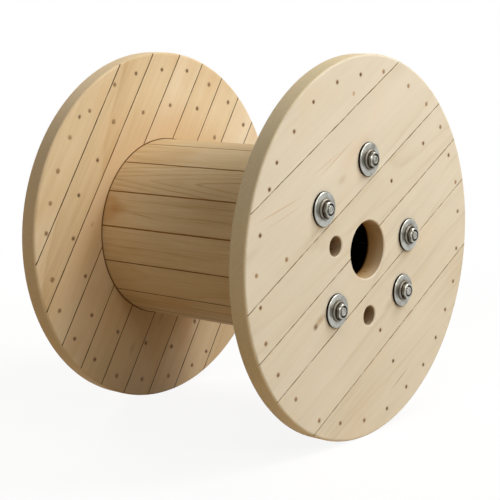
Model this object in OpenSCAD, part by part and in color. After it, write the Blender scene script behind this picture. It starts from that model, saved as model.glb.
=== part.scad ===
// Wooden cable drum: two flanges of crossed boards, a barrel of staves and five tie rods.
// The drum spins about Y, its centre is the origin and +Z is up. The near flange is at -Y.
// All sizes are in millimetres.

/* [Flanges] */
// Diameter of each flange
flange_d = 500; // [470:5:600]
// Thickness of one ply of boards; a flange is an outer and an inner ply, nailed crosswise
ply_t = 13; // [11:0.5:18]
// Radius of the sanded edge between the rim and a face
rim_round = 3.5; // [1:0.5:6]
// Distance from the axis to the seam between the third and fourth outer boards
axis_seam_offset = 12; // [6:1:18]
// Width of the second outer board; the first and the sixth take what is left at the rim
outer_board_2_w = 87; // [80:1:95]
// Width of the third outer board
outer_board_3_w = 63; // [58:1:68]
// Width of the fourth outer board
outer_board_4_w = 65; // [60:1:70]
// Width of the fifth outer board
outer_board_5_w = 100; // [92:1:104]
// Width of the narrow boards in the inner plies; the two at the rim take what is left
inner_board_w = 49; // [45:1:52]
// Direction of the near flange's outer boards
near_turn = 29; // [0:1:60]
// Direction of the far flange's outer boards
far_turn = 148; // [120:1:180]
// Width that the eased edge takes off a board at a seam
ease_w = 0.5; // [0.2:0.1:1]
// Depth of the eased edge at a seam
ease_depth = 1.8; // [0.5:0.1:2.5]

/* [Barrel] */
// Clear length between the flanges, where cable is wound
traverse = 332; // [200:2:480]
// Diameter of the barrel that the cable is wound on
barrel_d = 252; // [240:2:290]
// Number of staves around the barrel
stave_count = 16; // [14:1:18]
// Thickness of a stave at its middle
stave_t = 11; // [8:0.5:14]
// Gap between two staves
stave_gap = 0.4; // [0.2:0.1:1.5]
// Width that the eased edge takes off a stave at a seam
stave_ease_w = 0.3; // [0.2:0.1:1]
// Depth of the eased edge on a stave
stave_ease_depth = 1; // [0.5:0.1:2.5]
// Depth of the ring groove that holds the stave ends
groove_depth = 6; // [3:0.5:7]
// Clearance on each side of the staves in their groove
groove_fit = 0.6; // [0.2:0.1:1]
// Angle of the first seam between staves
stave_turn = 106; // [90:0.5:112]

/* [Holes] */
// Diameter of the arbor bore that a spindle goes through
arbor_d = 76; // [60:1:86]
// Diameter of the holes for a drive pin
drive_d = 26; // [20:1:30]
// Distance of the first drive hole from the axis
drive_1_offset = 72; // [68:1:84]
// Distance of the second drive hole from the axis
drive_2_offset = 88; // [70:1:90]
// Chamfer around the bores on the outer faces
bore_ease = 1.2; // [0.2:0.1:2]

/* [Tie rods] */
// Diameter of a tie rod
rod_d = 12; // [8:0.5:14]
// Clearance around a rod in its holes
rod_fit = 0.5; // [0.2:0.1:1]
// Chamfer on the ends of a rod
rod_chamfer = 1; // [0.5:0.1:1.5]
// Wood left on a stave outside the flute that holds the first or the second rod
rod_cover = 2.5; // [2:0.5:6]
// Distance that the third rod stands further in than the first two
rod_3_inset = 22.5; // [0:0.5:26]
// Distance that the fourth rod stands further in
rod_4_inset = 13; // [0:0.5:26]
// Distance that the fifth rod stands further in
rod_5_inset = 19; // [0:0.5:26]
// Diameter of the washers
washer_d = 44; // [36:1:48]
// Thickness of the washers
washer_t = 4; // [2:0.5:5]
// Radius of a washer's rounded edge
washer_round = 1.6; // [0.5:0.1:1.8]
// Height of a nut with its collar
nut_h = 8; // [7:0.5:14]
// Width across a nut's flats
nut_flats = 19; // [17:0.5:24]
// Diameter of the collar under a nut
collar_d = 26; // [24:0.5:32]
// Height of the collar under a nut
collar_h = 3; // [1.5:0.5:4]
// How much narrower the collar is at its top
collar_taper = 1; // [0.5:0.1:2]
// Chamfer around a nut's thread
thread_ease = 1; // [0.4:0.1:1.2]
// Length of rod that shows past a nut
rod_stub = 0.5; // [0.5:0.5:6]

/* [Nails] */
// Diameter of a nail's head
nail_head_d = 5.5; // [5:0.5:8]
// Thickness of a nail's head
nail_head_t = 1.2; // [0.8:0.1:1.6]
// Diameter of a nail's shank
nail_d = 2.8; // [2:0.1:3.4]
// Length of a nail's point
nail_point = 3; // [2:0.5:5]
// Least distance between a nail's head and a seam or another nail
nail_seam_gap = 2; // [1:0.5:3]
// Distance of the outer ring of nails from the rim
nail_inset = 23; // [18:1:30]
// How far a nail may stray from the outer ring
nail_wander = 2; // [0:0.5:3]
// Number of nails around the rim of an outer face
outer_rim_nails = 29; // [20:1:36]
// Angle by which those nails stray along their ring
outer_nail_stray = 3.5; // [0:0.5:4]
// Number of nails around the rim of an inner face
inner_rim_nails = 28; // [20:1:36]
// Angle by which those nails stray along their ring
inner_nail_stray = 1.5; // [0:0.5:4]
// Radius of the second ring of nails, on the inner faces
field_r = 176; // [164:1:185]
// How far a nail may stray from the second ring
field_wander = 9; // [0:1:10]
// Number of nails in the second ring
field_nails = 19; // [12:1:24]

/* [Tack nails] */
// Distance from the axis to each odd nail that draws the near flange's plies together
tack_1_r = 183; // [170:1:190]
// Second tack nail
tack_2_r = 172; // [165:1:190]
// Third tack nail
tack_3_r = 172; // [165:1:190]
// Fourth tack nail, between two washers
tack_4_r = 100; // [90:1:110]
// Fifth tack nail, below the second drive hole
tack_5_r = 116; // [112:1:130]

/* [Hidden] */
$fn = 96;
flange_r = flange_d / 2;
flange_t = 2 * ply_t;
half_width = traverse / 2 + flange_t;
barrel_r = barrel_d / 2;
hollow_r = barrel_r - stave_t;
stave_step = 360 / stave_count;
stave_l = traverse + 2 * groove_depth;
rod_r = rod_d / 2;
rod_l = 2 * (half_width + washer_t + nut_h + rod_stub);
nail_r = nail_d / 2;
nail_head_r = nail_head_d / 2;
// A nail stops this far short of the grooves that hold the staves
nail_stop = 1;
nail_l = flange_t - groove_depth - nail_stop;
nail_fit = 0.1;
// Slack left between a rod and its nut's thread, and cuts run past a face by over
thread_fit = 0.05;
over = 1;

// Seams between the wide outer boards: distances from the axis, measured across the boards
outer_seams = [
    axis_seam_offset - outer_board_3_w - outer_board_2_w,
    axis_seam_offset - outer_board_3_w,
    axis_seam_offset,
    axis_seam_offset + outer_board_4_w,
    axis_seam_offset + outer_board_4_w + outer_board_5_w
];
outer_boards = len(outer_seams) + 1;
// Seams between the narrow inner boards, which lie across the outer ones
inner_boards = 10;
inner_seams = [for (k = [1 - inner_boards / 2:inner_boards / 2 - 1]) k * inner_board_w];

// The first two rods lie in flutes of the staves, and the others stand clear of them
rod_reach = barrel_r - rod_cover - rod_r - rod_fit;
rods = [
    polar(rod_reach, 91.5),
    polar(rod_reach, 147.8),
    polar(rod_reach - rod_3_inset, 5.5),
    polar(rod_reach - rod_4_inset, -38.5),
    polar(rod_reach - rod_5_inset, -135)
];

drive_holes = [polar(drive_1_offset, 170), polar(drive_2_offset, -86)];

tacks = [
    polar(tack_1_r, 45),
    polar(tack_2_r, 177),
    polar(tack_3_r, -68),
    polar(tack_4_r, 58),
    polar(tack_5_r, -74)
];

pale_wood = [0.87, 0.80, 0.67];
warm_wood = [0.84, 0.73, 0.56];
stave_wood = [0.80, 0.68, 0.50];
zinc = [0.72, 0.73, 0.73];
nail_steel = [0.42, 0.37, 0.31];

SIDES = ["near", "far"];

// A point at radius r and angle a in a flange's plane
function polar(r, a) = [r * cos(a), r * sin(a)];

// A point of the flange's plane as seen along boards that run at an angle: its first
// coordinate runs along the boards and its second one across them
function along_boards(p, turn) = [
    p.x * cos(turn) + p.y * sin(turn),
    p.y * cos(turn) - p.x * sin(turn)
];
function across(p, turn) = along_boards(p, turn).y;

function outer_turn(side) = side == "near" ? near_turn : far_turn;

// The room around a point up to the nearest seam of either ply or the nearest other nail
function nail_room(p, turn, others) = min(
    min([for (s = outer_seams) abs(across(p, turn) - s)]),
    min([for (s = inner_seams) abs(across(p, turn + 90) - s)]),
    min(concat([flange_d], [for (o = others) norm(p - o) - nail_r]))
);

// A nail with too little room is moved along its ring by the least of these angles that helps
nail_nudges = [0, 1, -1, 2, -2, 3, -3, 4, -4, 5];
function nail_place(r, a, turn, others) =
    let (
        room = nail_head_r + nail_seam_gap,
        clear = [for (n = nail_nudges) if (nail_room(polar(r, a + n), turn, others) > room) n]
    )
    polar(r, a + concat(clear, [0])[0]);

// A ring of nails that were driven by eye: their radius and their spacing wander a little
function nail_ring(r, count, start, wander, stray, turn, others) = [
    for (i = [0:count - 1])
        let (a = start + 360 * i / count - stray * sin(27 * i))
        nail_place(r + wander * sin(137 * i), a, turn, others)
];

rim_nail_r = flange_r - nail_inset;
function outer_nails(side) = concat(
    nail_ring(rim_nail_r, outer_rim_nails, 7, nail_wander, outer_nail_stray, outer_turn(side), []),
    side == "near" ? tacks : []
);
function inner_nails(side) =
    let (turn = outer_turn(side), others = outer_nails(side))
    concat(
        nail_ring(rim_nail_r, inner_rim_nails, 0, nail_wander, inner_nail_stray, turn, others),
        nail_ring(field_r, field_nails, 9, field_wander, 0, turn, others)
    );

// Stands a flange that is drawn around Z, outer face up, on its side of the drum
module stand(side) {
    mirror([0, side == "near" ? 0 : 1, 0])
        rotate([90, 0, 0])
            children();
}

// A full disc of one ply with its rim's edge rounded at the top
module ply_disc() {
    rotate_extrude()
        union() {
            square([flange_r - rim_round, ply_t]);
            square([flange_r, ply_t - rim_round]);
            translate([flange_r - rim_round, ply_t - rim_round])
                circle(rim_round);
        }
}

// A strip along X between two seams, with both long edges eased at the top
module strip(from, to) {
    rotate([90, 0, 90])
        linear_extrude(2 * flange_r + 2 * over, center = true)
            polygon([
                [from, -over],
                [to, -over],
                [to, ply_t - ease_depth],
                [to - ease_w, ply_t],
                [to - ease_w, ply_t + over],
                [from + ease_w, ply_t + over],
                [from + ease_w, ply_t],
                [from, ply_t - ease_depth]
            ]);
}

// Holes for the spindle, the drive pins and the rods through a ply whose boards run at an angle
module through_holes(turn) {
    translate([0, 0, -over])
        cylinder(d = arbor_d, h = ply_t + 2 * over);
    for (p = drive_holes)
        at(p, turn, -over)
            cylinder(d = drive_d, h = ply_t + 2 * over);
    for (p = rods)
        at(p, turn, -over)
            cylinder(r = rod_r + rod_fit, h = ply_t + 2 * over);
}

// Chamfers around the bores at the outer face
module bore_chamfers(turn) {
    for (c = concat([[[0, 0], arbor_d / 2]], [for (p = drive_holes) [p, drive_d / 2]]))
        at(c[0], turn, ply_t - bore_ease)
            cylinder(r1 = c[1], r2 = c[1] + bore_ease, h = bore_ease);
}

// Puts something at a point of the flange's plane, drawn along boards that run at an angle
module at(p, turn, z) {
    q = along_boards(p, turn);
    translate([q.x, q.y, z])
        children();
}

// A nail driven down from the face at z = 0
module nail(fit = 0) {
    rotate_extrude()
        polygon([
            [0, -nail_l],
            [nail_r + fit, -nail_l + nail_point],
            [nail_r + fit, -nail_head_t],
            [nail_head_r + fit, -nail_head_t],
            [nail_head_r + fit, fit > 0 ? over : 0],
            [0, fit > 0 ? over : 0]
        ]);
}

// Those of some nails that may touch a board between two seams
function nails_near(places, from, to, turn) = [
    for (p = places)
        if (across(p, turn) > from - nail_head_d && across(p, turn) < to + nail_head_d) p
];

// A board of a ply between two seams, drawn along X with its show face up at z = ply_t, and
// then turned. Own nails have their heads in that face; the others come from the ply below.
module board(seams, i, turn, own, others) {
    from = i == 1 ? -flange_r - over : seams[i - 2];
    to = i > len(seams) ? flange_r + over : seams[i - 1];
    rotate([0, 0, turn])
        difference() {
            intersection() {
                ply_disc();
                strip(from, to);
            }
            through_holes(turn);
            for (p = nails_near(own, from, to, turn))
                at(p, turn, ply_t)
                    nail(nail_fit);
            for (p = nails_near(others, from, to, turn))
                at(p, turn, -ply_t)
                    mirror([0, 0, 1])
                        nail(nail_fit);
            children();
        }
}

module outer_board(side, i) {
    color(pale_wood)
        stand(side)
            translate([0, 0, half_width - ply_t])
                board(outer_seams, i, outer_turn(side), outer_nails(side), inner_nails(side))
                    bore_chamfers(outer_turn(side));
}

// The ring groove that holds the stave ends, cut into the inner face
module stave_groove() {
    translate([0, 0, ply_t - groove_depth])
        difference() {
            cylinder(r = barrel_r + groove_fit, h = groove_depth + over);
            translate([0, 0, -over])
                cylinder(r = hollow_r - groove_fit, h = groove_depth + 3 * over);
        }
}

// An inner board shows its face to the winding space, so it is drawn face up and turned over
module inner_board(side, i) {
    color(warm_wood)
        stand(side)
            translate([0, 0, half_width - ply_t])
                mirror([0, 0, 1])
                    board(inner_seams, i, outer_turn(side) + 90, inner_nails(side), outer_nails(side))
                        stave_groove();
}

// Half the width of a stave at a distance from the axis
function stave_half(x) = x * tan(stave_step / 2) - stave_gap / 2;

// A stave along Z whose middle lies on the +X side, with flutes for rods that run into it
module plain_stave(turn) {
    eased_r = barrel_r - stave_ease_depth;
    difference() {
        intersection() {
            cylinder(r = barrel_r, h = stave_l, center = true);
            linear_extrude(stave_l, center = true)
                polygon([
                    [hollow_r, -stave_half(hollow_r)],
                    [eased_r, -stave_half(eased_r)],
                    [barrel_r, stave_ease_w - stave_half(barrel_r)],
                    [barrel_r, stave_half(barrel_r) - stave_ease_w],
                    [eased_r, stave_half(eased_r)],
                    [hollow_r, stave_half(hollow_r)]
                ]);
        }
        for (p = rods_in_stave(turn))
            at(p, turn, 0)
                cylinder(r = rod_r + rod_fit, h = stave_l + 2 * over, center = true);
    }
}

// Those rods that a stave at this angle has to make room for
function rods_in_stave(turn) = [
    for (p = rods)
        let (q = along_boards(p, turn))
        if (q.x > hollow_r - rod_d && abs(q.y) < stave_half(barrel_r) + rod_d) p
];

module stave(i) {
    turn = stave_turn + stave_step * (i - 0.5);
    color(stave_wood)
        rotate([90, 0, 0])
            rotate([0, 0, turn])
                plain_stave(turn);
}

// A tie rod runs right through the barrel and both flanges
module tie_rods() {
    color(zinc)
        for (p = rods)
            rotate([90, 0, 0])
                translate([p.x, p.y, -rod_l / 2])
                    rotate_extrude()
                        polygon([
                            [0, 0],
                            [rod_r - rod_chamfer, 0],
                            [rod_r, rod_chamfer],
                            [rod_r, rod_l - rod_chamfer],
                            [rod_r - rod_chamfer, rod_l],
                            [0, rod_l]
                        ]);
}

// A thick round washer with its upper edge rounded
module washer() {
    washer_r = washer_d / 2;
    difference() {
        rotate_extrude()
            union() {
                square([washer_r - washer_round, washer_t]);
                square([washer_r, washer_t - washer_round]);
                translate([washer_r - washer_round, washer_t - washer_round])
                    circle(washer_round);
            }
        translate([0, 0, -over])
            cylinder(r = rod_r + rod_fit, h = washer_t + 2 * over);
    }
}

module washers() {
    color(zinc)
        for (side = SIDES, p = rods)
            stand(side)
                translate([p.x, p.y, half_width])
                    washer();
}

// A hexagon nut on a round collar, with its corners turned down at the top
module nut() {
    corner_r = nut_flats / 2 / cos(30);
    crown = corner_r - nut_flats / 2;
    thread_r = rod_r + thread_fit;
    difference() {
        union() {
            cylinder(d1 = collar_d, d2 = collar_d - collar_taper, h = collar_h);
            intersection() {
                cylinder(r = corner_r, h = nut_h, $fn = 6);
                rotate_extrude()
                    polygon([
                        [0, 0],
                        [corner_r + over, 0],
                        [corner_r + over, nut_h - crown],
                        [corner_r, nut_h - crown],
                        [corner_r - 2 * crown, nut_h],
                        [0, nut_h]
                    ]);
            }
        }
        translate([0, 0, -over])
            cylinder(r = thread_r, h = nut_h + 2 * over);
        translate([0, 0, nut_h - thread_ease])
            cylinder(r1 = thread_r, r2 = thread_r + thread_ease, h = thread_ease);
    }
}

module nuts() {
    color(zinc)
        for (side = SIDES, p = rods)
            stand(side)
                translate([p.x, p.y, half_width + washer_t])
                    nut();
}

// Nails with their heads flush in a flange's outer face
module outer_nail_group(side) {
    color(nail_steel)
        stand(side)
            for (p = outer_nails(side))
                translate([p.x, p.y, half_width])
                    nail();
}

// Nails with their heads flush in a flange's inner face
module inner_nail_group(side) {
    color(nail_steel)
        stand(side)
            for (p = inner_nails(side))
                translate([p.x, p.y, half_width - flange_t])
                    mirror([0, 0, 1])
                        nail();
}

for (s = SIDES, i = [1:outer_boards])
    outer_board(s, i);
for (s = SIDES, i = [1:inner_boards])
    inner_board(s, i);
for (i = [1:stave_count])
    stave(i);
tie_rods();
washers();
nuts();
for (s = SIDES)
    outer_nail_group(s);
for (s = SIDES)
    inner_nail_group(s);
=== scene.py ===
# %% [markdown]
# # A wooden cable drum
#
# A cable drum is two round flanges on a hollow barrel, clamped together by tie rods.
# Each flange is two plies of pine boards nailed crosswise, and the barrel is a ring of staves.
# The construction is packed already, as solids at their real size. This script gives it its
# looks: wood for the boards and staves, and finer steel for the rods, washers, nuts and nails.
#
# Blender works in metres here. The drum's centre is the origin, it spins about Y, Z is up and
# the near flange is at -Y. Small sizes are written in millimetres and scaled where they're used.

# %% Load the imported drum
import math
import bpy
import numpy as np
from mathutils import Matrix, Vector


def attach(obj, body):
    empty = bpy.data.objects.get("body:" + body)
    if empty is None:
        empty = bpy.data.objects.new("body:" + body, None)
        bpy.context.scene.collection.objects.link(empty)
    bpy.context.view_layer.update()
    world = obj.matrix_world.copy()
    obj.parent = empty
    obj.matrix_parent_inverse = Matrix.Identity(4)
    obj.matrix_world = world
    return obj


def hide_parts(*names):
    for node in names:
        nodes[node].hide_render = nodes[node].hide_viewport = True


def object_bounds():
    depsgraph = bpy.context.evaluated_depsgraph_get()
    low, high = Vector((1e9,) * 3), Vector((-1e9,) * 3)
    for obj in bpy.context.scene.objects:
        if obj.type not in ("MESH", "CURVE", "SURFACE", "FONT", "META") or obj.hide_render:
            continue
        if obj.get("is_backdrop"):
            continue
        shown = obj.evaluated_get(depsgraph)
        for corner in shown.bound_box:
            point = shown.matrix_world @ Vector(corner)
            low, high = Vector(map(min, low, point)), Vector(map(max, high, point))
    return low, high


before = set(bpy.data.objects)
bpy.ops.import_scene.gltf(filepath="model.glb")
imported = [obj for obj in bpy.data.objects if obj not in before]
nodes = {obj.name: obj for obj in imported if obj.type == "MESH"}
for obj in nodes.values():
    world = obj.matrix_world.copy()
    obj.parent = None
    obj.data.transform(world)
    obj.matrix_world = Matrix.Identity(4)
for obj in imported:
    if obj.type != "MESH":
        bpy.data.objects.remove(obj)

cad_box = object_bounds()
MM = 0.001
print("solids:", len(nodes), "reach in mm:", [round(v / MM) for v in cad_box[1]])

# %% [markdown]
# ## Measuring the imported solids
#
# The looks have to sit on the solids, so what a later step needs is measured here and isn't
# typed in again. Rods and nails are many solids in one node, and each stands where a clump of
# that node's points is. Numpy measures all the points at once, which is short and quick.

# %% Points, spreads and places
# The reach of a clump from its first point, and how near to a face counts as on it.
ROD_CLUMP = 16
NAIL_CLUMP = 8
FACE_SLACK = 0.05


def points_of(name):
    """All corners of a node's mesh in millimetres, as rows of x, y and z."""
    mesh = nodes[name].data
    flat = np.empty(3 * len(mesh.vertices), np.float32)
    mesh.vertices.foreach_get("co", flat)
    return flat.reshape(-1, 3).astype(float) / MM


def spread(name, turn):
    """Least and greatest distance across the grain, where the grain runs at an angle to X."""
    x, _, z = points_of(name).T
    across = z * math.cos(turn) - x * math.sin(turn)
    return across.min(), across.max()


def standing_places(points, reach):
    """Middles (x, z) of the clumps of points, each within reach of its first point."""
    left = points[:, [0, 2]]
    middles = []
    while len(left):
        near = np.hypot(*(left - left[0]).T) < reach
        middles.append((left[near].min(0) + left[near].max(0)) / 2)
        left = left[~near]
    return np.array(middles)


def head_places(name):
    """Middles of a group of nails' heads, read from the corners in the face they're flush with,
    and that face's distance from the drum's middle."""
    points = points_of(name)
    depth = np.abs(points[:, 1])
    face = depth.max() if "outer" in name else depth.min()
    return standing_places(points[np.abs(depth - face) < FACE_SLACK], NAIL_CLUMP), face


def over_face(name):
    """How far a node's points stand out over a flange's outer face."""
    return np.abs(points_of(name)[:, 1]).max() - outer_face


def from_rods(name):
    """Greatest distance of a node's points from the middles of the rods they're nearest to."""
    away = points_of(name)[:, None, [0, 2]] - rod_places
    return np.hypot(*away.T).min(0).max()


flange_r = cad_box[1].x / MM
outer_face = np.abs(points_of("near_outer_board_3")[:, 1]).max()
inner_face = np.abs(points_of("near_inner_board_5")[:, 1]).min()
barrel_r = np.hypot(*points_of("stave_1")[:, [0, 2]].T).max()
rod_places = standing_places(points_of("tie_rods"), ROD_CLUMP)
rod_end = np.abs(points_of("tie_rods")[:, 1]).max()
rod_r = round(from_rods("tie_rods"), 2)
washer_r = round(from_rods("washers"), 2)
washer_t = round(over_face("washers"), 2)
nut_h = round(over_face("nuts") - washer_t, 2)
print(f"flange radius {flange_r:.0f}, faces at {inner_face:.0f} and {outer_face:.0f}")
print(f"barrel radius {barrel_r:.0f}, rods at", rod_places.round(0).tolist())
print(f"rods {rod_r}, washers {washer_r} by {washer_t}, nuts {nut_h} high")

# %% [markdown]
# ## Camera
#
# The camera looks at the near flange from its left and a little from above, with a long lens.
# It circles a target by an azimuth and an elevation, which is easier to think about than a
# place and three angles.

# %% Camera
AZIMUTH = math.radians(-50.84)
ELEVATION = math.radians(8.97)
CAMERA_DISTANCE = 1.8155
CAMERA_ASIDE = -0.0031
CAMERA_RAISED = -0.0194
LENS = 94.69


def camera_axes():
    """Directions to the right, up and back, as the camera sees them."""
    right = np.array([math.cos(AZIMUTH), math.sin(AZIMUTH), 0])
    back = np.array([
        math.sin(AZIMUTH) * math.cos(ELEVATION),
        -math.cos(AZIMUTH) * math.cos(ELEVATION),
        math.sin(ELEVATION),
    ])
    return right, np.cross(back, right), back


def add_object(name, data):
    """A new object in the scene for a camera, a mesh or a lamp."""
    made = bpy.data.objects.new(name, data)
    bpy.context.scene.collection.objects.link(made)
    return made


right, up, back = camera_axes()
camera = add_object("camera", bpy.data.cameras.new("camera"))
camera.location = CAMERA_DISTANCE * back + CAMERA_ASIDE * right + CAMERA_RAISED * up
camera.rotation_euler = (math.pi / 2 - ELEVATION, 0, AZIMUTH)
camera.data.lens = LENS
bpy.context.scene.camera = camera
bpy.context.scene.view_settings.view_transform = "Standard"
print("camera at", [round(v, 2) for v in camera.location])

# %% [markdown]
# ## Shader maths as Python
#
# A wood or steel finish is a small calculation for each point of a surface, and Blender wants
# it as nodes. Wiring Math nodes by hand hides the formula. A small class wraps a node's output
# instead, so that an expression on it adds the nodes: `1 - mask * 0.5` reads as what it is.

# %% One class for sockets
class Wire:
    """An output of a shader node. Python's operators on it add the Math nodes for the sum."""

    def __init__(self, tree, socket=None):
        self.tree = tree
        self.socket = socket

    def node(self, kind, settings=None, inputs=None, out=0):
        """Adds a node: first its settings, then a value or a Wire for each named input."""
        made = self.tree.nodes.new("ShaderNode" + kind)
        for name, value in (settings or {}).items():
            if name == "stops":
                self.fill(made.color_ramp, value)
            else:
                setattr(made, name, value)
        for name, value in (inputs or {}).items():
            if isinstance(value, Wire):
                self.tree.links.new(value.socket, made.inputs[name])
            else:
                made.inputs[name].default_value = value
        return Wire(self.tree, made.outputs[out] if len(made.outputs) else None)

    @staticmethod
    def fill(ramp, stops):
        """Sets a colour ramp's stops from (position, colour) pairs."""
        while len(ramp.elements) < len(stops):
            ramp.elements.new(1)
        for element, (position, colour) in zip(ramp.elements, stops):
            element.position = position
            element.color = colour

    def math(self, operation, *values):
        """One Math node on these values."""
        return self.node("Math", {"operation": operation}, dict(enumerate(values)))

    def __add__(self, other):
        return self.math("ADD", self, other)

    def __sub__(self, other):
        return self.math("SUBTRACT", self, other)

    def __rsub__(self, other):
        return self.math("SUBTRACT", other, self)

    def __mul__(self, other):
        return self.math("MULTIPLY", self, other)

    def __truediv__(self, other):
        return self.math("DIVIDE", self, other)

    __radd__ = __add__
    __rmul__ = __mul__


# %% [markdown]
# Some nodes have several sockets of one name, one for each kind of data, so a few helpers hold
# their numbers in one place. Colours are written as an image editor shows them, because that is
# how one picks them, and are made linear here, because a shader adds up light.

# %% Helpers for masks, colours and vectors
def smooth(value, start, end):
    """0 before start and 1 past end, with an S-shaped rise; a falling one if end is less.
    Map Range's sockets 0, 1 and 2 are the value and the two ends of its range."""
    settings = {"interpolation_type": "SMOOTHSTEP"}
    return value.node("MapRange", settings, {0: value, 1: start, 2: end})


def mix(factor, under, over):
    """The colour under, covered by the colour over where the factor is 1. Mix has its colours in
    sockets 6 and 7 and gives one in output 2."""
    return factor.node("Mix", {"data_type": "RGBA"}, {0: factor, 6: under, 7: over}, 2)


def vector(x, y, z):
    """Three Wires or numbers as one vector."""
    wire = next(v for v in (x, y, z) if isinstance(v, Wire))
    return wire.node("CombineXYZ", {}, {0: x, 1: y, 2: z})


def length(v):
    """A vector's length, which Vector Math gives in output 1."""
    return v.node("VectorMath", {"operation": "LENGTH"}, {0: v}, 1)


def noise(v, size, seed, detail):
    """Soft random blobs from 0 to 1, about as large as size says along each axis. The seed only
    moves the pattern, so another seed shows another part of it."""
    scale = tuple(1 / s for s in size)
    moved = v.node("Mapping", {}, {"Vector": v, "Scale": scale, "Location": (seed, 1.7 * seed, 0)})
    return v.node("TexNoise", {}, {"Vector": moved, "Scale": 1.0, "Detail": detail})


def rgb(red, green, blue):
    """A colour as an image editor shows it, from 0 to 255, made linear and opaque."""
    share = np.array([red, green, blue]) / 255
    linear = np.where(share <= 0.04045, share / 12.92, ((share + 0.055) / 1.055) ** 2.4)
    return (*linear.tolist(), 1.0)


print("an editor's grey of 128 is", round(rgb(128, 128, 128)[0], 3), "of the light")


# %% Start and end of a material
def new_material(name):
    """An empty material and a Wire to start its shader from."""
    material = bpy.data.materials.new(name)
    material.use_nodes = True
    material.node_tree.nodes.clear()
    return material, Wire(material.node_tree)


def in_millimetres(start, turn=0.0):
    """A piece's own coordinates in millimetres, turned about Y by an angle."""
    place = start.node("TexCoord", {}, {}, "Object")
    inputs = {"Vector": place, "Rotation": (0, turn, 0), "Scale": (1 / MM,) * 3}
    return start.node("Mapping", {}, inputs)


def finish_material(start, colour, roughness, bump, depth, metallic=0.0, specular=0.5):
    """Ends a shader: one Principled surface whose relief is a bump that many metres deep."""
    normal = start.node("Bump", {}, {"Strength": 1.0, "Distance": depth, "Height": bump})
    surface = start.node("BsdfPrincipled", {}, {
        "Base Color": colour,
        "Roughness": roughness,
        "Metallic": metallic,
        "Specular IOR Level": specular,
        "Normal": normal,
    })
    start.node("OutputMaterial", {}, {"Surface": surface})


# %% [markdown]
# ## Wood
#
# Wood isn't a picture on a board, it is a solid. A log is a stack of cones: each year adds a
# light layer and a thin dark one. A saw that cuts past the log's heart shows long V shapes, and
# one that cuts further out shows straight lines. So the shader asks each point how far it is
# from the heart of its own log, which makes faces, edges and end grain agree with each other.
#
# Each board gets its own log. Pine is pale and calm, so the rings are faint, and most of the
# look is fine fibre, soft streaks along the grain and a slow change of tone. Each of these is
# one noise, stretched along the grain by its own size.

# %% Grain coordinates
def board_space(start, turn):
    """Millimetres along, through and across a board whose grain runs at an angle to X."""
    grain = in_millimetres(start, turn)
    return [grain.node("SeparateXYZ", {}, {0: grain}, i) for i in range(3)]


def stave_space(start, turn):
    """Millimetres along, through and across a stave that stands at an angle around the axis."""
    out, along, across = board_space(start, turn)
    return along, out - barrel_r, across


# %% Random patterns in the wood
# Each pattern's size along, through and across the grain, its step from the log's seed, and its
# detail.
PATTERNS = {
    "bow": ((300, 200, 200), 0, 2),
    "wobble": ((170, 40, 40), 5, 2),
    "fibre": ((55, 0.9, 0.9), 1, 3),
    "streaks": ((260, 9, 9), 2, 3),
    "clouds": ((190, 70, 70), 3, 1),
    "blush": ((110, 60, 60), 4, 1),
    "flecks": ((13, 1.6, 1.6), 9, 1),
    "rust edge": ((3, 3, 3), 7, 2),
    "rust patches": ((60, 60, 60), 10, 2),
    "seam edge": ((15, 6, 6), 8, 2),
    "rim speckle": ((2.2, 2.2, 2.2), 6, 3),
}


def pattern(grain, name, log):
    """One of the patterns above, from 0 to 1, as it lies in this log."""
    size, step, detail = PATTERNS[name]
    return noise(grain, size, log["seed"] + step, detail)


print("patterns:", len(PATTERNS), "finest in mm:", min(min(p[0]) for p in PATTERNS.values()))


# %% Growth rings
def growth_rings(along, through, across, log):
    """Late wood from 0 to 1. The distance from the heart line, plus a slow wobble and a share
    of the length that draws the lines to points, is divided into years. Within a year the tone
    rises with the fourth power and then falls sharply, and each year has its own strength."""
    grain = vector(along, through, across)
    sideways = across - log["aside"] - pattern(grain, "bow", log) * log["bow"]
    inwards = through + log["depth"] + along * log["taper"]
    wobble = pattern(grain, "wobble", log) * log["wobble"]
    years = (length(vector(sideways, inwards, 0.0)) + along * log["point"] + wobble) / log["year"]
    share = years.math("FRACT", years)
    rise = share * share * share * share
    late = rise * smooth(share, 1.0, 0.9)
    strength = years.node("TexWhiteNoise", {"noise_dimensions": "1D"}, {
        "W": years.math("FLOOR", years) + log["seed"],
    })
    return late * (strength * 0.75 + 0.25) * log["contrast"]


# %% Plain wood
# A blush or a fleck shows where its noise passes from the first number to the second.
BLUSH_FROM, BLUSH_TO = 0.52, 0.78
FLECKS_FROM, FLECKS_TO = 0.72, 0.84


def plain_wood(start, grain, late, fibre, look, log, tone):
    """Late wood, fibre, streaks and clouds add up to one number, from 0, palest, to 1, darkest,
    and a ramp makes it a colour. Warm blushes and small brown flecks lie over it."""
    streaks = pattern(grain, "streaks", log)
    clouds = pattern(grain, "clouds", log)
    value = late * look["rings"] + (fibre - 0.5) * look["fibre"] + (streaks - 0.5) * look["streaks"]
    value = value + (clouds - 0.5) * look["clouds"] + (look["tone"] + tone)
    colour = start.node("ValToRGB", {"stops": look["stops"]}, {0: value})
    blush = smooth(pattern(grain, "blush", log), BLUSH_FROM, BLUSH_TO)
    colour = mix(blush * look["blush"], colour, look["blush_colour"])
    flecks = smooth(pattern(grain, "flecks", log), FLECKS_FROM, FLECKS_TO)
    return mix(flecks * look["flecks"], colour, look["fleck_colour"])


# %% [markdown]
# Knots, stains, rust, seams and the sawn rim could be painted on by hand, board by board. As
# masks from distances they stay sharp at any size, and they move with a nail or an edge when the
# construction changes. An iron nail browns the wood around it, and some nails more than others.

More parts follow.
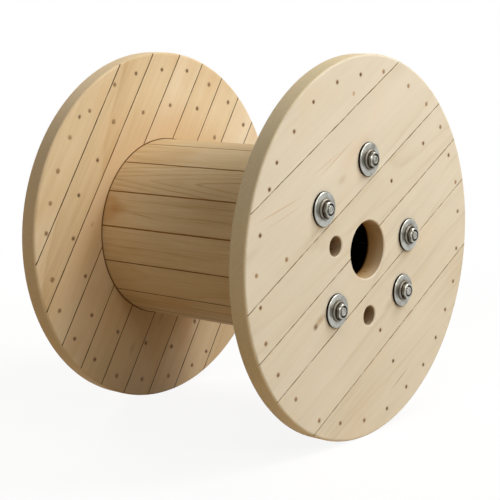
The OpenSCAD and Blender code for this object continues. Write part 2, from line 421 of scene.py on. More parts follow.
# %% Knots, rust, seams and rims
RUST_FROM, RUST_TO = 4.8, 2.0
RAGGED = 2.4
RIM_FROM, RIM_TO = 1.8, 0.4


def spot(along, across, mark):
    """1 in the middle of an oval mark and 0 outside it. Its length is tilted a little from the
    grain: the place is turned by that angle, then divided by the half length and half width."""
    cos, sin = math.cos(mark["tilt"]), math.sin(mark["tilt"])
    a, c = along - mark["along"], across - mark["across"]
    shape = vector((a * cos + c * sin) / mark["long"], 0.0, (c * cos - a * sin) / mark["wide"])
    return smooth(length(shape), 1.0, mark["core"])


def nearest(along, across, middles):
    """Distance in millimetres to the nearest of some places, given along and across the grain."""
    flat = vector(along, 0.0, across)
    least = None
    for a, c in middles:
        inputs = {0: flat, 1: (a, 0.0, c)}
        away = flat.node("VectorMath", {"operation": "DISTANCE"}, inputs, 1)
        least = away if least is None else least.math("MINIMUM", least, away)
    return least


def rust_mask(grain, along, across, nails, look, log):
    """1 beside a nail and 0 further off, with a ragged edge, and stronger in some patches."""
    away = nearest(along, across, nails) + (pattern(grain, "rust edge", log) - 0.5) * RAGGED
    strength = pattern(grain, "rust patches", log) * 2.4 - 0.5
    return smooth(away, RUST_FROM, RUST_TO) * strength * look["rust"]


def seam_mask(grain, across, seams, look, log):
    """1 at a board's nearer edge and 0 inside it, with a line that wanders a little."""
    edge = across.math("MINIMUM", across - seams[0], seams[1] - across)
    ragged = edge + (pattern(grain, "seam edge", log) - 0.5) * look["wander"]
    return smooth(ragged, look["seam_width"], look["seam_width"] * 0.4)


def rim_layer(grain, along, across, look, log):
    """The mask of the sawn rim, by the distance from the axis, and its speckled colour."""
    reach = length(vector(along, 0.0, across))
    sanded = smooth(reach, flange_r - RIM_FROM, flange_r - RIM_TO)
    speckle = pattern(grain, "rim speckle", log)
    return sanded, mix(speckle, look["rim_light"], look["rim_dark"])


# %% [markdown]
# What lies deep is painted darker, as painted shade: the walls of the bores, the more the deeper
# they go, and the inside of the barrel. Around the corner where the staves enter the flange the
# wood is painted a warmer brown, as painted warm shade, and the joint there is a dark line. The
# depth in the ply and the distance from the axis say where all this is, so nothing has to be
# unwrapped or painted into an image.

# %% Painted shade in deep places, and the joints
# Colours of painted shade in the bore, the drive holes and the inside of the barrel, of painted
# warm shade around the barrel (glow), and of the dark joint.
SHADE_AND_JOINT = {
    "bore": rgb(180, 144, 94), "hole": rgb(138, 104, 62), "inside": rgb(40, 26, 12),
    "glow": rgb(176, 124, 52), "joint": rgb(112, 70, 24),
}
BORE_ENDS, HOLES_START = 45, 50
GLOW_REACH, GLOW_DEPTH = 80, 9
BOARD_GLOW, STAVE_GLOW = 0.30, 0.12
STAVE_GLOW_START = 90


def board_shade_and_joint(along, through, across):
    """Masks for a flange's boards, by the distance from the axis and from the drum's middle.
    The bores and the inside of the barrel are painted shade, and the glow is painted warm shade on
    the wood around the barrel."""
    reach = length(vector(along, 0.0, across))
    height = through.math("ABSOLUTE", through)
    middle = smooth(reach, barrel_r, barrel_r - 6)

    # Painted shade: a bore's wall starts just under the outer face, and is painted darker the
    # deeper it goes.
    wall = smooth(height, outer_face - 0.8, outer_face - 1.8)
    deep = smooth(height, outer_face - 2, inner_face)
    dark_wall = (wall * 0.7 + deep * 0.25) * middle

    # The joint is a thin dark ring where the barrel meets the inner face, and the glow, which is
    # painted warm shade, a broad one.
    off_joint = (reach - barrel_r).math("ABSOLUTE", reach - barrel_r)
    around_barrel = smooth(reach, barrel_r + GLOW_REACH, barrel_r)
    return {
        "bore": dark_wall * smooth(reach, HOLES_START, BORE_ENDS),
        "hole": dark_wall * smooth(reach, BORE_ENDS, HOLES_START),
        "inside": smooth(height, inner_face + 3, inner_face + 0.5) * middle,
        "glow": around_barrel * smooth(height, inner_face + GLOW_DEPTH, inner_face) * BOARD_GLOW,
        "joint": smooth(off_joint, 1.7, 0.9) * smooth(height, inner_face + 2, inner_face + 1),
    }


def stave_shade_and_joint(along, through):
    """Masks for a stave: painted warm shade (the glow) towards its ends, painted shade on its inner
    side, and its dark ends at the joints.
    """
    reach = along.math("ABSOLUTE", along)
    return {
        "glow": smooth(reach, STAVE_GLOW_START, inner_face) * STAVE_GLOW,
        "inside": smooth(through, -4.0, -9.0),
        "joint": smooth(reach, inner_face - 1.6, inner_face - 0.6) * 0.8,
    }


print("dirt in:", ", ".join(SHADE_AND_JOINT))

# %% [markdown]
# The wood material puts these together. Over the plain wood lie layers, and each is a mask and a
# colour, like glazes on a painting. The order matters: the painted shade and the joints lie over
# marks, and the rim, which the saw and sander crossed at every angle, is cut through all of them.

# %% The wood material
WOOD_GLOSS = 0.12


def wood(name, turn, look, log, tone, marks, seams, nails=(), is_board=True):
    """The material of one board, or of one stave where is_board is False."""
    material, start = new_material(name)
    space = board_space if is_board else stave_space
    along, through, across = space(start, turn)
    grain = vector(along, through, across)
    late = growth_rings(along, through, across, log)
    fibre = pattern(grain, "fibre", log)
    colour = plain_wood(start, grain, late, fibre, look, log, tone)

    layers = [(spot(along, across, m) * m["strength"], m["colour"]) for m in marks]
    if len(nails):
        layers.append((rust_mask(grain, along, across, nails, look, log), look["rust_colour"]))
    layers.append((seam_mask(grain, across, seams, look, log), look["seam_colour"]))
    # Painted shade in the bores and inside the barrel, painted warm shade around the barrel's
    # corner, and the dark joints.
    dirt = board_shade_and_joint(along, through, across) if is_board else stave_shade_and_joint(along, through)
    layers += [(mask, SHADE_AND_JOINT[place]) for place, mask in dirt.items()]
    if is_board:
        layers.append(rim_layer(grain, along, across, look, log))
    for mask, over in layers:
        colour = mix(mask, colour, over)

    relief = fibre * 0.5 + late * 0.4
    rough = fibre * 0.16 + (look["rough"] - 0.08)
    finish_material(start, colour, rough, relief, look["relief"], specular=WOOD_GLOSS)
    return material


# %% [markdown]
# Three looks share that material. The outer plies are the palest, the inner plies a little
# warmer with dark dirty seams, and the staves the warmest, with rust-brown edges. A look is a
# table, so that two woods differ in numbers and not in code.

# %% Looks
# Rings, fibre, streaks, clouds, blush, flecks and rust are strengths. Seams are in millimetres
# and the relief in metres.
OUTER = {
    "stops": [(0.0, rgb(234, 228, 214)), (0.5, rgb(218, 209, 189)), (1.0, rgb(186, 161, 123))],
    "tone": 0.40, "rings": 0.20, "fibre": 0.34, "streaks": 0.24, "clouds": 0.32,
    "blush": 0.34, "blush_colour": rgb(226, 206, 178), "rough": 0.62, "relief": 0.00012,
    "flecks": 0.30, "fleck_colour": rgb(204, 164, 118),
    "rust": 0.40, "rust_colour": rgb(150, 116, 78),
    "seam_width": 0.75, "wander": 1.3, "seam_colour": rgb(112, 86, 42),
}
INNER = {
    **OUTER,
    "stops": [(0.0, rgb(237, 222, 196)), (0.5, rgb(222, 200, 162)), (1.0, rgb(182, 144, 90))],
    "tone": 0.42, "rings": 0.28, "streaks": 0.36, "clouds": 0.40,
    "blush": 0.45, "blush_colour": rgb(218, 186, 142),
    "rust": 0.8, "rust_colour": rgb(140, 102, 62),
    "seam_width": 1.1, "wander": 0.9, "seam_colour": rgb(66, 38, 12),
}
STAVE = {
    **OUTER,
    "stops": [(0.0, rgb(233, 214, 184)), (0.5, rgb(215, 190, 148)), (1.0, rgb(170, 129, 77))],
    "tone": 0.44, "rings": 0.26, "fibre": 0.70, "streaks": 0.30, "clouds": 0.40,
    "blush": 0.40, "blush_colour": rgb(206, 168, 122),
    "seam_width": 0.7, "wander": 0.6, "seam_colour": rgb(92, 60, 26),
}
RUSTY_STAVE = {**STAVE, "seam_width": 1.1, "seam_colour": rgb(146, 94, 38)}
# The far rim's colours are painted paler than the near rim's, as painted light on the far flange.
RIMS = {
    "near": {"rim_light": rgb(227, 211, 176), "rim_dark": rgb(202, 183, 146)},
    "far": {"rim_light": rgb(238, 214, 175), "rim_dark": rgb(216, 191, 151)},
}
print("seam widths in mm:", [look["seam_width"] for look in (OUTER, INNER, STAVE, RUSTY_STAVE)])

# %% [markdown]
# ## Logs
#
# Every board draws its log from one seeded generator, so that no two boards match and every run
# gives the same drum. The heart of most logs lies outside the board, which gives calm straight
# lines, and a few lie under it, which gives the long V shapes.

# %% Logs
LOG_SEED = 11
random = np.random.default_rng(LOG_SEED)


def new_log(low, high):
    """A log for a board between two edges: where its heart runs and how wide its years are."""
    middle, half = (low + high) / 2, (high - low) / 2
    side = random.choice([-1, 1])
    return {
        "aside": middle + side * half * random.uniform(0.3, 2.4),
        "depth": random.uniform(18, 60),
        "taper": random.uniform(-0.05, 0.05),
        "point": 0.0,
        "contrast": 1.0,
        "bow": random.uniform(5, 22),
        "wobble": random.uniform(2, 7),
        "year": random.uniform(5, 11),
        "seed": random.uniform(0, 400),
    }


SPECIAL_LOGS = {
    "near_outer_board_5": {"bow": 90, "depth": 60, "year": 22, "wobble": 12, "contrast": 1.6},
    "near_outer_board_2": {"bow": 50, "depth": 50, "year": 15, "contrast": 1.3},
}
print("boards with bold rings:", ", ".join(SPECIAL_LOGS))

# %% [markdown]
# ## Knots, stains and lines of the flanges
#
# A few marks catch the eye on a flange: a knot in its stain, small brown smudges, long thin
# lines and broad warm patches. Noise can't place them, so each is one oval in the flange's plane,
# and it falls on whichever board lies there. The broad warm patch on the far inner ply, beside the
# barrel, is painted warm shade.

# %% Marks
TURNS = {"near": math.radians(29), "far": math.radians(148)}
KNOT = rgb(96, 70, 46)
STAIN = rgb(176, 146, 108)
WARM = rgb(214, 160, 104)
LINE = rgb(196, 156, 110)


def oval(along, across, long, wide, colour=KNOT, strength=0.8, core=0.4, tilt=0.0):
    """A mark on a board or stave; long and wide are its halves along and across the grain."""
    return {
        "along": along, "across": across, "long": long, "wide": wide,
        "colour": colour, "strength": strength, "core": core, "tilt": tilt,
    }


def marks_on(turn, rows):
    """Marks on boards whose grain runs at an angle to X. A row is a place (x, z) in the flange's
    plane, the half length and width, and then as much of the rest of an oval as it needs."""
    cos, sin = math.cos(turn), math.sin(turn)
    return [oval(x * cos + z * sin, z * cos - x * sin, *shape) for x, z, *shape in rows]


FACE_MARKS = {
    "near_outer": marks_on(TURNS["near"], [
        (-112, -83, 7.5, 6.0, rgb(92, 64, 36), 0.95, 0.0),
        (-103, -76, 17, 7, STAIN, 0.75, 0.0),
        (-59, 95, 16, 8, STAIN, 0.30, 0.0),
        (52, -80, 20, 9, STAIN, 0.25, 0.0),
        (82, -187, 34, 0.9, KNOT, 0.7, 0.2),
        (-36, 201, 3.6, 3.2, rgb(190, 150, 108), 0.7, 0.7),
        (-69, 124, 58, 1.6, LINE, 0.55, 0.0, 0.02),
        (-89, 119, 46, 1.4, LINE, 0.40, 0.0, -0.08),
        (-187, 69, 62, 1.6, LINE, 0.55, 0.0, -0.24),
        (-176, 60, 50, 1.4, LINE, 0.35, 0.0, -0.20),
        (-30, 130, 60, 18, WARM, 0.16, 0.0),
        (10, -12, 70, 20, WARM, 0.12, 0.0),
    ]),
    "far_inner": marks_on(TURNS["far"] - math.pi / 2, [
        (-164, 165, 4.2, 3.4),
        (-203, 99, 4.4, 3.6),
        (-224, -35, 4.2, 3.4),
        (-144, 17, 6, 4, STAIN, 0.6, 0.1),
        # Painted warm shade: this broad warm patch beside the barrel stands in for shade on the far
        # inner ply.
        (-158, -18, 150, 40, rgb(190, 136, 70), 0.22, 0.2),
        (-7, -135, 18, 6, STAIN, 0.4, 0.0),
        (-70, -171, 16, 6, STAIN, 0.4, 0.0),
    ]),
}
print("marks:", {face: len(marks) for face, marks in FACE_MARKS.items()})

# %% [markdown]
# Faces without marks of their own get one small knot on each board. A small mark close to a nail
# is really that nail's stain, so it moves onto the nail.

# %% Small marks
SMALL_MARK = 5
SNAP = 16
KNOT_MARGIN = 6


def on_nails(marks, nails):
    """The same marks, with each small one that nearly meets a nail moved onto that nail."""
    for m in marks:
        away = np.hypot(nails[:, 0] - m["along"], nails[:, 1] - m["across"])
        if m["long"] < SMALL_MARK and away.min() < SNAP:
            m["along"], m["across"] = nails[away.argmin()].tolist()
    return marks


def in_grain(places, turn):
    """Places (x, z) in a flange's plane, as distances along and across its boards' grain."""
    x, z = places.T
    cos, sin = math.cos(turn), math.sin(turn)
    return np.column_stack([x * cos + z * sin, z * cos - x * sin])


def random_mark(low, high):
    """A small knot somewhere on a board, within 0.8 of the flange's half width there."""
    across = random.uniform(low + KNOT_MARGIN, high - KNOT_MARGIN)
    along = random.uniform(-1, 1) * math.sqrt(max(flange_r ** 2 - across ** 2, 0)) * 0.8
    size = random.uniform(1.5, 4.5)
    return oval(along, across, size, 0.8 * size, strength=0.7)


# %% [markdown]
# ## Boards
#
# Each ply's boards run at one angle, and the two plies of a flange cross at a right angle, which
# keeps it flat when the wood swells. The boards of the far inner ply come from different logs, and
# each has a listed tone, which is partly its own and partly painted light and shade across that
# ply. The others draw theirs.

# %% Boards of both flanges
BOARD_COUNT = {"outer": 6, "inner": 10}
# Tone added to each far inner board, more is darker: partly the boards' own tones and partly
# painted light and shade.
FAR_SHADES = (0.05, 0.11, 0.04, -0.10, 0.03, -0.10, -0.23, -0.28, -0.13, -0.05)
SHADES = {f"far_inner_board_{i}": shade for i, shade in enumerate(FAR_SHADES, 1)}
MARK_MARGIN = 4
NAIL_MARGIN = 7
NO_SEAM = 1e4


def seam_edges(low, high):
    """A board's two edges, but one far away where it ends at the rim, which shows no seam."""
    return (
        low if low > 1 - flange_r else -NO_SEAM,
        high if high < flange_r - 1 else NO_SEAM,
    )


def cover(name, material):
    """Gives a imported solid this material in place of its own."""
    materials = nodes[name].data.materials
    materials.clear()
    materials.append(material)


for side, turn in TURNS.items():
    for ply, count in BOARD_COUNT.items():
        face = f"{side}_{ply}"
        angle = turn if ply == "outer" else turn - math.pi / 2
        look = {**(OUTER if ply == "outer" else INNER), **RIMS[side]}
        nails = in_grain(head_places(f"{face}_nails")[0], angle)
        marks = on_nails(FACE_MARKS.get(face, []), nails)
        for i in range(1, count + 1):
            name = f"{face}_board_{i}"
            low, high = spread(name, angle)
            own = [m for m in marks if low - MARK_MARGIN < m["across"] < high + MARK_MARGIN]
            if face not in FACE_MARKS:
                own.append(random_mark(low, high))
            close = nails[(nails[:, 1] > low - NAIL_MARGIN) & (nails[:, 1] < high + NAIL_MARGIN)]
            log = {**new_log(low, high), **SPECIAL_LOGS.get(name, {})}
            shade = random.uniform(-0.07, 0.07)
            tone = SHADES.get(name, shade)
            seams = seam_edges(low, high)
            cover(name, wood(name, angle, look, log, tone, own, seams, close.tolist()))
print("board materials:", len(bpy.data.materials))

# %% [markdown]
# ## Staves
#
# The barrel's staves run along Y. Each one's grain is turned to where it stands around the axis,
# which is read from the solid's middle. The stave that faces the light shows a long V of year
# rings, so its log's heart lies just under its face. One beside it is stained near its end. A
# shared material would repeat itself around the barrel, so each stave has one of its own.

# %% Staves
STAVE_COUNT = 16
V_STAVE = 2
V_LOG = {
    "depth": 3, "taper": 0, "point": 0.09, "bow": 5, "wobble": 4, "year": 7.0, "contrast": 1.9,
}
RUSTY_STAVES = (2, 3, 4)
STAVE_MARKS = {
    3: [
        oval(166, 0, 36, 25, rgb(188, 134, 76), 0.40, 0.55),
        oval(138, -1, 24, 11, rgb(180, 124, 66), 0.34, 0.2),
        oval(92, 6, 44, 1.8, rgb(150, 106, 58), 0.40, 0.0, tilt=-0.1),
    ],
    4: [oval(-118, -6, 34, 14, rgb(150, 108, 62), 0.40, 0.0)],
}


def stave_angle(name):
    """Where a stave stands around the axis, from the mean of its points."""
    x, _, z = points_of(name).mean(0)
    return math.atan2(z, x)


angles = []
for i in range(1, STAVE_COUNT + 1):
    name = f"stave_{i}"
    angle = stave_angle(name)
    low, high = spread(name, angle)
    log = new_log(low, high)
    if i == V_STAVE:
        log.update(V_LOG, aside=(low + high) / 2 + 1)
    tone = random.uniform(-0.06, 0.06)
    look = RUSTY_STAVE if i in RUSTY_STAVES else STAVE
    own = STAVE_MARKS.get(i, [])
    cover(name, wood(name, angle, look, log, tone, own, (low, high), is_board=False))
    angles.append(round(math.degrees(angle)))
print("stave angles:", angles)

# %% [markdown]
# ## Steel pieces as surfaces of numpy arrays
#
# Washers, nuts, rods and nails are all turned shapes, so one kind of grid makes them: a row for
# each step of the profile, and a column for each step around. The whole grid is one array, and
# a copy for each place is one more axis of that array. No Python loop runs over the points.

# %% Grids that close around an axis
def around(columns):
    """Angles of a ring's columns, without a double at the end."""
    return np.linspace(0, 2 * math.pi, columns, endpoint=False)


def turned(radius, height, angles):
    """Points of a turned shape: (r cos a, r sin a, h), as rows x columns x 3."""
    radius, height = np.broadcast_arrays(radius, height)
    full = np.ones_like(angles)
    return np.stack([radius * np.cos(angles), radius * np.sin(angles), height * full], -1)


def ring_faces(rows, columns, closed):
    """Quads between neighbouring rows; a closed profile also joins its last row to its first."""
    r = np.arange(rows if closed else rows - 1)[:, None]
    c = np.arange(columns)[None, :]
    low, high = r * columns, (r + 1) % rows * columns
    ahead = (c + 1) % columns
    quads = np.stack([low + c, low + ahead, high + ahead, high + c], -1)
    return quads.reshape(-1, 4)


def caps(rows, columns):
    """The first and last row of an open profile, as one flat face each."""
    first = np.arange(columns)[::-1]
    last = (rows - 1) * columns + np.arange(columns)
    return np.stack([first, last])


print("quads of an open 3 x 8 grid:", len(ring_faces(3, 8, False)))


# %% Copies at their places
SIDES = ("near", "far")


def stand_on(side, shape, places, level):
    """Copies of a shape with Z outwards, on a flange: (x, y, z) goes to (x, -z, y) on the near
    side and to (-x, z, y) on the far one, which are both turns, and then to its place."""
    x, y, z = shape[..., 0], shape[..., 1], shape[..., 2]
    if side == "near":
        stood = np.stack([x, -z - level, y], -1)
    else:
        stood = np.stack([-x, z + level, y], -1)
    moves = np.column_stack([places[:, 0], np.zeros(len(places)), places[:, 1]])
    return stood + moves[:, None, None]


def at_rods(shape, level):
    """Copies of a shape on every rod, at a level over the near flange and over the far one."""
    return np.concatenate([stand_on(side, shape, rod_places, level) for side in SIDES])


def piece(name, copies, closed, node, material, sharp=35):
    """A mesh of many copies of one grid, which stands for a CAD node and rides with the drum.
    Each copy's faces are the first copy's, moved on by one grid's count of points."""
    total, rows, columns, _ = copies.shape
    shift = rows * columns * np.arange(total)[:, None, None]
    groups = [ring_faces(rows, columns, closed)]
    if not closed:
        groups.append(caps(rows, columns))
    every = []
    for group in groups:
        every += (group + shift).reshape(-1, group.shape[1]).tolist()
    mesh = bpy.data.meshes.new(name)
    mesh.from_pydata((copies.reshape(-1, 3) * MM).tolist(), [], every)
    mesh.polygons.foreach_set("use_smooth", np.ones(len(every), bool))
    mesh.set_sharp_from_angle(angle=math.radians(sharp))
    mesh.materials.append(material)
    made = add_object(name, mesh)
    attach(made, "root")
    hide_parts(node)
    print(name, "copies:", total, "faces:", len(every))
    return made


def paint(made, copies, name, values):
    """Stores a number from 0 to 1 for each point in an attribute that the material reads. The
    values are spread over copies x rows x columns."""
    full = np.broadcast_to(values, copies.shape[:3]).astype(np.float32)
    attribute = made.data.attributes.new(name, "FLOAT", "POINT")
    attribute.data.foreach_set("value", full.ravel())


# %% [markdown]
# ## Zinc plate and nail steel
#
# Zinc plate is a soft mirror with a fine grain and a little grey bloom. Each steel piece is painted
# darker where its own shape is hollow or meets another part, as painted shade, and the nuts' flats
# are painted brown as a painted reflection of the wood. Blender could find hollows with a
# Pointiness or Ambient Occlusion node, but the shapes are formulas, so the same formulas give
# this painted shade at no cost. The nails are bare steel and have gone brown.

# %% Zinc plate
def zinc_material():
    """Grey metal with bloom and fine grain, and brown to black painted shade and painted
    reflection, read from an attribute that each steel piece paints.
    """
    material, start = new_material("zinc_plate")
    grain = in_millimetres(start)
    bloom = noise(grain, (9, 9, 9), 3, 3)
    fine = noise(grain, (0.7, 0.7, 0.7), 8, 2)
    colour = mix(smooth(bloom, 0.3, 0.75), rgb(186, 187, 180), rgb(140, 139, 130))
    # This attribute holds painted shade in hollows and joins, and the painted brown reflection on
    # the nuts' flats.
    dirt = start.node("Attribute", {"attribute_name": "dirt"}, {}, 2)
    colour = mix(dirt * (bloom * 0.5 + 0.65), colour, rgb(84, 64, 40))
    colour = mix(smooth(dirt, 0.8, 1.0), colour, rgb(30, 25, 18))
    rough = bloom * 0.18 + fine * 0.08 + 0.16 + dirt * 0.25
    finish_material(start, colour, rough, fine * 0.3 + bloom, 0.00006, metallic=1.0)
    return material


# %% Brown nail steel
def nail_material():
    """Brown steel. Wood has swollen over the head's edge, and each nail has its own tone."""
    material, start = new_material("brown_steel")
    grain = in_millimetres(start)
    rust = noise(grain, (1.3, 1.3, 1.3), 2, 3)
    tone = start.node("Attribute", {"attribute_name": "tone"}, {}, 2)
    edge = start.node("Attribute", {"attribute_name": "edge"}, {}, 2)
    colour = mix(tone, rgb(70, 50, 28), rgb(180, 150, 106))
    colour = mix(smooth(rust, 0.4, 0.7) * 0.5, colour, rgb(78, 56, 32))
    colour = mix(smooth(edge + (rust - 0.5) * 0.3, 0.25, 0.6), colour, rgb(160, 128, 90))
    finish_material(start, colour, rust * 0.3 + 0.45, rust, 0.0002, metallic=0.2)
    return material


zinc = zinc_material()
brown_steel = nail_material()
print("steels:", zinc.name, "and", brown_steel.name)

# %% [markdown]
# ## Washers
#
# The washers are thick and pressed from strip, so their outer edge is rolled over on the show
# side and sharp beneath. A cylinder with a Bevel modifier would round both edges alike. A
# profile carried around the axis gives each edge its own form, and takes only a few rows.

# %% Washers
WASHER_BORE_R = 6.6
ROLL_WIDE, ROLL_HIGH = 2.0, 2.2


def washer_profile():
    """Radius and height out along the back, up the rolled edge, which is a quarter of an
    ellipse, and back in over a face that is dished a little."""
    roll = np.radians(np.linspace(0, 90, 9))
    rolled_r = washer_r - ROLL_WIDE + ROLL_WIDE * np.cos(roll)
    rolled_h = washer_t - ROLL_HIGH + ROLL_HIGH * np.sin(roll)
    back_r = [WASHER_BORE_R, washer_r - 0.4, washer_r]
    radius = np.concatenate([back_r, rolled_r, [17.5, 15.0, 13.2, WASHER_BORE_R]])
    height = np.concatenate([[0, 0, 0.4], rolled_h, washer_t - np.array([0.12, 0.16, 0.0, 0.0])])
    return radius[:, None], height[:, None]


columns = 72
radius, height = washer_profile()
copies = at_rods(turned(radius, height, around(columns)), outer_face)
washers = piece("round_washers", copies, True, "washers", zinc)
# Painted shade: each washer's low outer edge, where it stands on the wood, and its face beside the
# nut are painted dark.
low_edge_shade = np.clip((3.5 - height) / 0.7, 0, 1)
shade_by_the_nut = np.clip(1 - (radius - 12.5) / 3.0, 0, 1) * 0.8
paint(washers, copies, "dirt", np.clip(low_edge_shade + shade_by_the_nut, 0, 1))

# %% [markdown]
# ## Nuts
#
# A flanged nut is a hexagon on a round collar. It could be cut from a cylinder with a boolean
# cone, which leaves long thin faces. Here its outline is worked out column by column: the
# distance to a hexagon's side at an angle is the half width divided by the cosine of the angle
# to that side's middle. A cone then cuts the corners at the top, where the lesser radius wins.

# %% Nuts
HALF_FLATS = 9.5
CORNER_LIMIT = HALF_FLATS / math.cos(math.radians(30)) - 0.6
CONE_TOP_R = 9.3
NUT_TURNS = np.radians([8, 33, 21, 47, 2])


def hexagon(angles):
    """Distance from a hexagon's middle to its outline: the half width over the cosine of the
    angle to the nearest side's middle, and less at the worn corners."""
    to_side = (angles + math.pi / 6) % (math.pi / 3) - math.pi / 6
    return np.minimum(HALF_FLATS / np.cos(to_side), CORNER_LIMIT)


def nut_shape(angles):
    """Rows up the collar, up the hexagon under its cone, across the top and down the thread. The
    cone's radius is the top's, plus 1.1 times the distance down from the top."""
    collar_r = np.array([6.4, 12.6, 13.0, 13.0, 12.7, 12.1, 11.4, 11.0])[:, None]
    collar_h = np.array([0.0, 0.0, 0.35, 1.5, 2.2, 2.6, 2.75, 3.1])[:, None]
    side_h = np.array([3.6, 4.0, 4.8, 5.8, 6.4, 6.9, 7.35, 7.7, nut_h])[:, None]
    cone = CONE_TOP_R + (nut_h - side_h) * 1.1
    side_r = np.minimum(hexagon(angles), cone)
    top_r = np.array([8.2, 7.5, 7.1, 6.5, 6.05])[:, None]
    top_h = nut_h - np.array([0.0, 0.1, 0.5, 1.1, 3.5])[:, None]
    full = np.ones_like(angles)
    radius = np.concatenate([collar_r * full, side_r, top_r * full])
    height = np.concatenate([collar_h, side_h, top_h]) * full
    return radius, height


def spun(shape, turns):
    """One copy of a shape for each angle: (x cos t - y sin t, x sin t + y cos t, z)."""
    x, y, z = shape[..., 0], shape[..., 1], shape[..., 2]
    cos, sin = np.cos(turns)[:, None, None], np.sin(turns)[:, None, None]
    return np.stack(np.broadcast_arrays(x * cos - y * sin, x * sin + y * cos, z), -1)


def nut_shade_and_reflection(radius, height):
    """Painted shade over the collar and under it, in the thread's mouth and by the lip, and a
    painted brown reflection of the wood on the flats.
    """
    over_collar = 0.8 * np.exp(-((height - 3.2) / 0.5) ** 2)
    under_collar = np.clip(1 - height / 0.5, 0, 1)
    mouth = np.clip((7.9 - radius) / 0.4, 0, 1) * (height > 4)
    flats_reflection = 0.55 * (height > 0.3) * (height < nut_h - 1.2) * (radius > 8.5)
    lip = 0.35 * np.exp(-((height - nut_h + 1.4) / 0.4) ** 2)
    return np.clip(over_collar + under_collar + mouth + flats_reflection + lip, 0, 1)


columns = 72
radius, height = nut_shape(around(columns))
one = turned(radius, height, around(columns))
copies = at_rods(spun(one, NUT_TURNS), outer_face + washer_t)
nuts = piece("flanged_nuts", copies, True, "nuts", zinc, sharp=25)
paint(nuts, copies, "dirt", nut_shade_and_reflection(radius, height))

# %% [markdown]
# ## Tie rods
#
# A rod is a plain shank with a thread rolled on each end. Blender's Screw modifier can wind a
# thread, but then it has to be joined to the shank. A thread is also a groove that advances one
# pitch each turn, so its depth depends only on the height in pitches less the share of a turn:
# where that is whole, the groove is deepest. Near the tip a chamfer takes the lesser radius.

# %% Tie rods
PITCH = 1.75
ROWS_PER_PITCH = 6
THREAD_DEPTH = 0.95
THREAD_LENGTH = 24.0
CHAMFER = 1.1


def rod_shape(angles):
    """Rows from end to end. Radius is the shank's, less a triangle wave of (h / pitch - turn).
    The flat ends have a shallow ring where the blank was held."""
    fine = np.arange(rod_end - THREAD_LENGTH, rod_end, PITCH / ROWS_PER_PITCH)
    half = np.concatenate([np.linspace(0, fine[0] - 2, 5), fine, [rod_end - 0.15, rod_end]])
    h = np.concatenate([-half[:0:-1], half])[:, None]
    turn = angles / (2 * math.pi)
    wave = np.abs(((h / PITCH - turn) % 1) * 2 - 1)
    threaded = np.clip((np.abs(h) - (rod_end - THREAD_LENGTH)) / 3, 0, 1)
    radius = rod_r - THREAD_DEPTH * wave * threaded
    tip = rod_r - CHAMFER + rod_end - np.abs(h)
    end_r = np.array([3.6, 2.9, 1.4])[:, None] * np.ones_like(angles)
    end_h = rod_end - np.array([0.0, 0.5, 0.1])[:, None]
    radius = np.concatenate([end_r[::-1], np.minimum(radius, tip), end_r])
    return radius, np.concatenate([-end_h[::-1], h, end_h]) * np.ones_like(angles)


def rod_painted_shade(radius, height, angles):
    """Painted shade in the thread's grooves and in the end's ring, where it is a crescent, and all
    over inside the barrel.
    """
    groove = np.clip((rod_r - 0.1 - radius) / 0.5, 0, 1) * (rod_end - np.abs(height) > 0.3)
    ring = np.where(radius < 3.5, 0.6 + 0.4 * np.cos(angles), 1)
    hidden = np.clip((inner_face - np.abs(height)) / 4, 0, 1)
    return np.maximum(groove * ring, hidden)


columns = 32
radius, height = rod_shape(around(columns))
copies = stand_on("near", turned(radius, height, around(columns)), rod_places, 0)
rods = piece("threaded_rods", copies, False, "tie_rods", zinc, sharp=50)
paint(rods, copies, "dirt", rod_painted_shade(radius, height, around(columns)))

# %% [markdown]
# ## Nails
#
# There are many nails and each is small, so a nail has only a few dozen faces: a low domed head,
# a shank and a point. Linked copies would be lighter still, but a ply's nails are one node of
# the construction, so they are one mesh here too. Each nail's dark ring in the wood is part of
# the boards' material. An inner ply shows its face to the other flange, so its nails are turned
# like that flange's own.

# %% Nails
NAIL_R = np.array([0.3, 1.4, 1.4, 2.7, 2.2, 1.5, 0.7])[:, None]
NAIL_H = np.array([-18.6, -15.5, -1.2, -0.1, 0.1, 0.2, 0.25])[:, None]
NAIL_COLUMNS = 12
OTHER_SIDE = {"near": "far", "far": "near"}
TONE_POWER = {"outer": 1.5, "inner": 0.9}

one = turned(NAIL_R, NAIL_H, around(NAIL_COLUMNS))
head_edge = (NAIL_R / NAIL_R.max()) ** 2
for side in SIDES:
    for ply in BOARD_COUNT:
        name = f"{side}_{ply}_nails"
        places, face = head_places(name)
        if ply == "outer":
            copies = stand_on(side, one, places, face)
        else:
            copies = stand_on(OTHER_SIDE[side], one, places, -face)
        heads = piece(f"{side}_{ply}_nail_heads", copies, False, name, brown_steel)
        tones = random.uniform(0, 1, len(places)) ** TONE_POWER[ply]
        paint(heads, copies, "tone", tones[:, None, None])
        paint(heads, copies, "edge", head_edge)

# %% [markdown]
# ## Floor and light
#
# The drum stands on a pale floor in soft light, which comes from the front, from the right and
# from above. The near flange shades the barrel's near end, and what light the lower parts get
# comes back from the floor.
#
# The white background is the colour of the floor and the room for what looks straight at them,
# and for mirrors. It adds no light to the wood. The floor is only partly lit, so it keeps a soft
# shadow, and it fades out to plain white before its far edge.

# %% Floor
WHITE = (1, 1, 1, 1)
BOUNCE = (0.63, 0.50, 0.34, 1)
FLOOR_R = 12
FLOOR_COLUMNS = 64
FADE_FROM, FADE_TO = 0.5, 1.6
LIT_SHARE = 0.10


def looked_at(start):
    """1 for rays from the camera, from mirrors and through glass, and 0 for light itself."""
    straight, mirror, glass = [
        start.node("LightPath", {}, {}, name)
        for name in ("Is Camera Ray", "Is Glossy Ray", "Is Transmission Ray")
    ]
    return straight.math("MAXIMUM", straight.math("MAXIMUM", straight, mirror), glass)


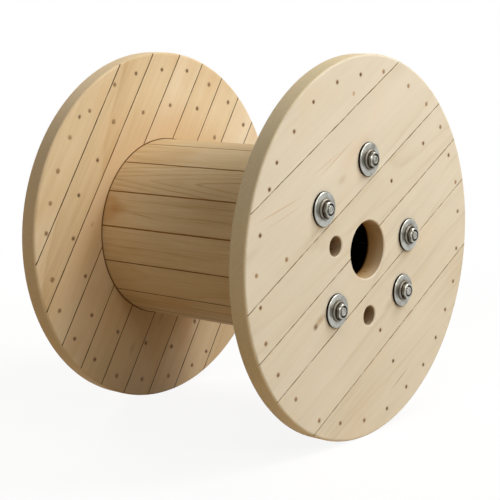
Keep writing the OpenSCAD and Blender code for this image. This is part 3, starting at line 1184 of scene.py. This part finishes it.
def floor_material():
    """White to look at, a little of it lit, and warm for the light that bounces back up."""
    material, start = new_material("pale_floor")
    away = length(start.node("TexCoord", {}, {}, "Object"))
    keep = smooth(away, FADE_TO, FADE_FROM) * LIT_SHARE
    lit = start.node("BsdfDiffuse", {}, {"Color": WHITE})
    white = start.node("Emission", {}, {"Color": WHITE, "Strength": 1.0})
    seen = start.node("MixShader", {}, {0: keep, 1: white, 2: lit})
    bounce = start.node("BsdfDiffuse", {}, {"Color": BOUNCE})
    surface = start.node("MixShader", {}, {0: looked_at(start), 1: bounce, 2: seen})
    start.node("OutputMaterial", {}, {"Surface": surface})
    return material


def disc(name, radius, level, material):
    """A flat round of one face, centred under the drum."""
    rim = turned(np.array([[radius]]), np.array([[0.0]]), around(FLOOR_COLUMNS))[0]
    mesh = bpy.data.meshes.new(name)
    mesh.from_pydata((rim + [0, 0, level]).tolist(), [], [list(range(FLOOR_COLUMNS))])
    mesh.materials.append(material)
    return add_object(name, mesh)


floor = disc("floor", FLOOR_R, cad_box[0].z, floor_material())
floor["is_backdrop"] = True
print("floor level in mm:", round(cad_box[0].z / MM))

# %% Room
ROOM_LIGHT = 0.03
ROOM_COLOUR = (1.0, 0.82, 0.60, 1)


def light_room():
    """A world that is white to look at and lights the drum with a weak warm glow."""
    world = bpy.data.worlds.new("room")
    world.use_nodes = True
    world.node_tree.nodes.clear()
    start = Wire(world.node_tree)
    glow = start.node("Background", {}, {"Color": ROOM_COLOUR, "Strength": ROOM_LIGHT})
    white = start.node("Background", {}, {"Color": WHITE, "Strength": 1.0})
    both = start.node("MixShader", {}, {0: looked_at(start), 1: glow, 2: white})
    start.node("OutputWorld", {}, {"Surface": both})
    bpy.context.scene.world = world


light_room()
print("room light:", ROOM_LIGHT)

# %% [markdown]
# Each lamp is a soft square at one distance from the drum. Its azimuth is counted from straight
# in front of the near flange towards +X, and its share is how strongly it lights a surface that
# faces it. A square lamp of P watts at d metres lights such a surface at P / (pi d) squared of
# the surface's own colour, so the shares turn into watts with one line. A sun or a spot would be
# simpler, but would draw hard shadows.

# %% Lamps
LAMP_DISTANCE = 2.4
LAMP_WIDTH = 0.8
LAMP_COLOUR = (1.0, 0.98, 0.95)
LAMPS = {
    "key_high": (40, 52, 0.50),
    "key_low": (40, 30, 0.18),
    "front": (10, 30, 0.11),
    "front_left": (-20, 30, 0.23),
    "left": (-56, 55, 0.16),
    "top": (60, 72, 0.04),
    "back": (168, 22, 0.50),
}


def lamp(name, azimuth, elevation, share):
    """A square lamp at that place, turned so that it points at the drum's middle."""
    azimuth, elevation = math.radians(azimuth), math.radians(elevation)
    light = bpy.data.lights.new(name, "AREA")
    light.size = LAMP_WIDTH
    light.energy = share * (math.pi * LAMP_DISTANCE) ** 2
    light.color = LAMP_COLOUR
    made = add_object(name, light)
    flat = LAMP_DISTANCE * math.cos(elevation)
    made.location = (
        flat * math.sin(azimuth), -flat * math.cos(azimuth), LAMP_DISTANCE * math.sin(elevation)
    )
    made.rotation_euler = (math.pi / 2 - elevation, 0, azimuth)


for name, values in LAMPS.items():
    lamp(name, *values)
print("lamps:", sorted(LAMPS))

# %% [markdown]
# ## Finish
#
# The box of the finished drum is written beside the box of the imported solids, to see at a glance
# that the looks haven't outgrown the construction.

# %% Boxes
visual_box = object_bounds()
for name, box in (("solids", cad_box), ("looks", visual_box)):
    print(name, "reach in mm:", [round(v / MM, 1) for v in box[1]])
